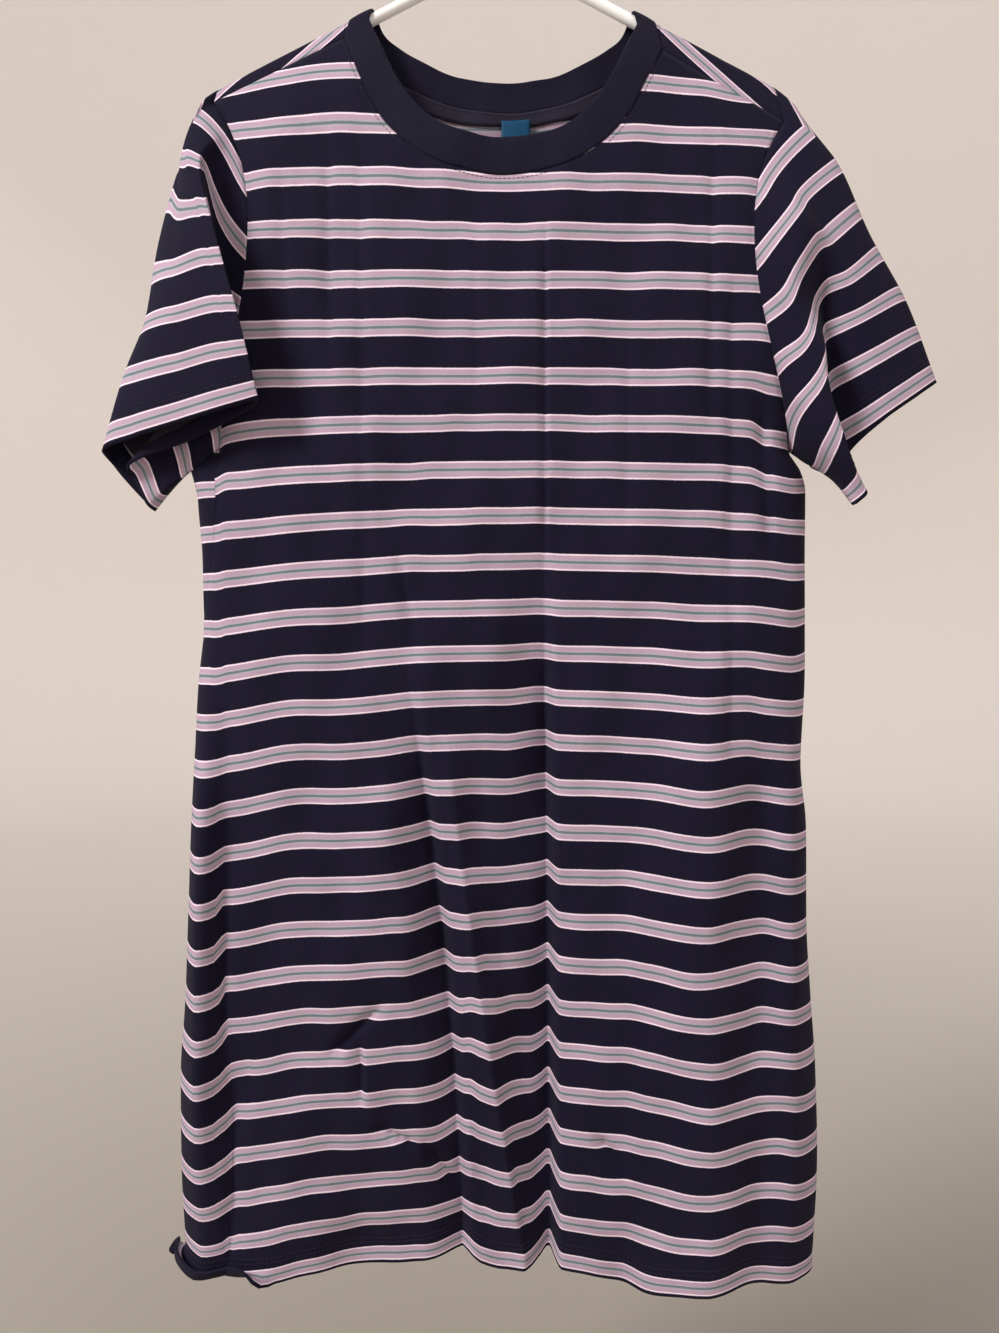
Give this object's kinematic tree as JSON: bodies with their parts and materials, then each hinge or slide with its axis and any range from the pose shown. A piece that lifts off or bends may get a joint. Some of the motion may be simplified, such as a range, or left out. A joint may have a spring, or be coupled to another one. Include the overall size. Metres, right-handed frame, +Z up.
{
  "type": "t-shirt dress on hanger",
  "caption": "Short-sleeved t-shirt dress with horizontal stripes and a round neckband, hanging from a white tubular hanger.",
  "frame": {"origin": "top of the inside of the hanger's hook, where it rests on a rail", "axes": "+Z up, +X to the right as seen from the front, and the dress faces -Y"},
  "size_m": [0.5974, 0.0843, 1.0679],
  "materials": {
    "striped_jersey": "matt single jersey, navy with yarn-dyed multi-colour stripes",
    "navy_rib": "matt navy rib and tape",
    "label_blue": "woven satin label, plain blue",
    "white_plastic": "smooth white plastic"
  },
  "bodies": {
    "root": {"front": "striped_jersey", "back": "striped_jersey", "sleeve_left": "striped_jersey", "sleeve_right": "striped_jersey", "neckband": "navy_rib", "neck_tape": "navy_rib", "label": "label_blue", "hanger": "white_plastic"}
  },
  "joints": []
}
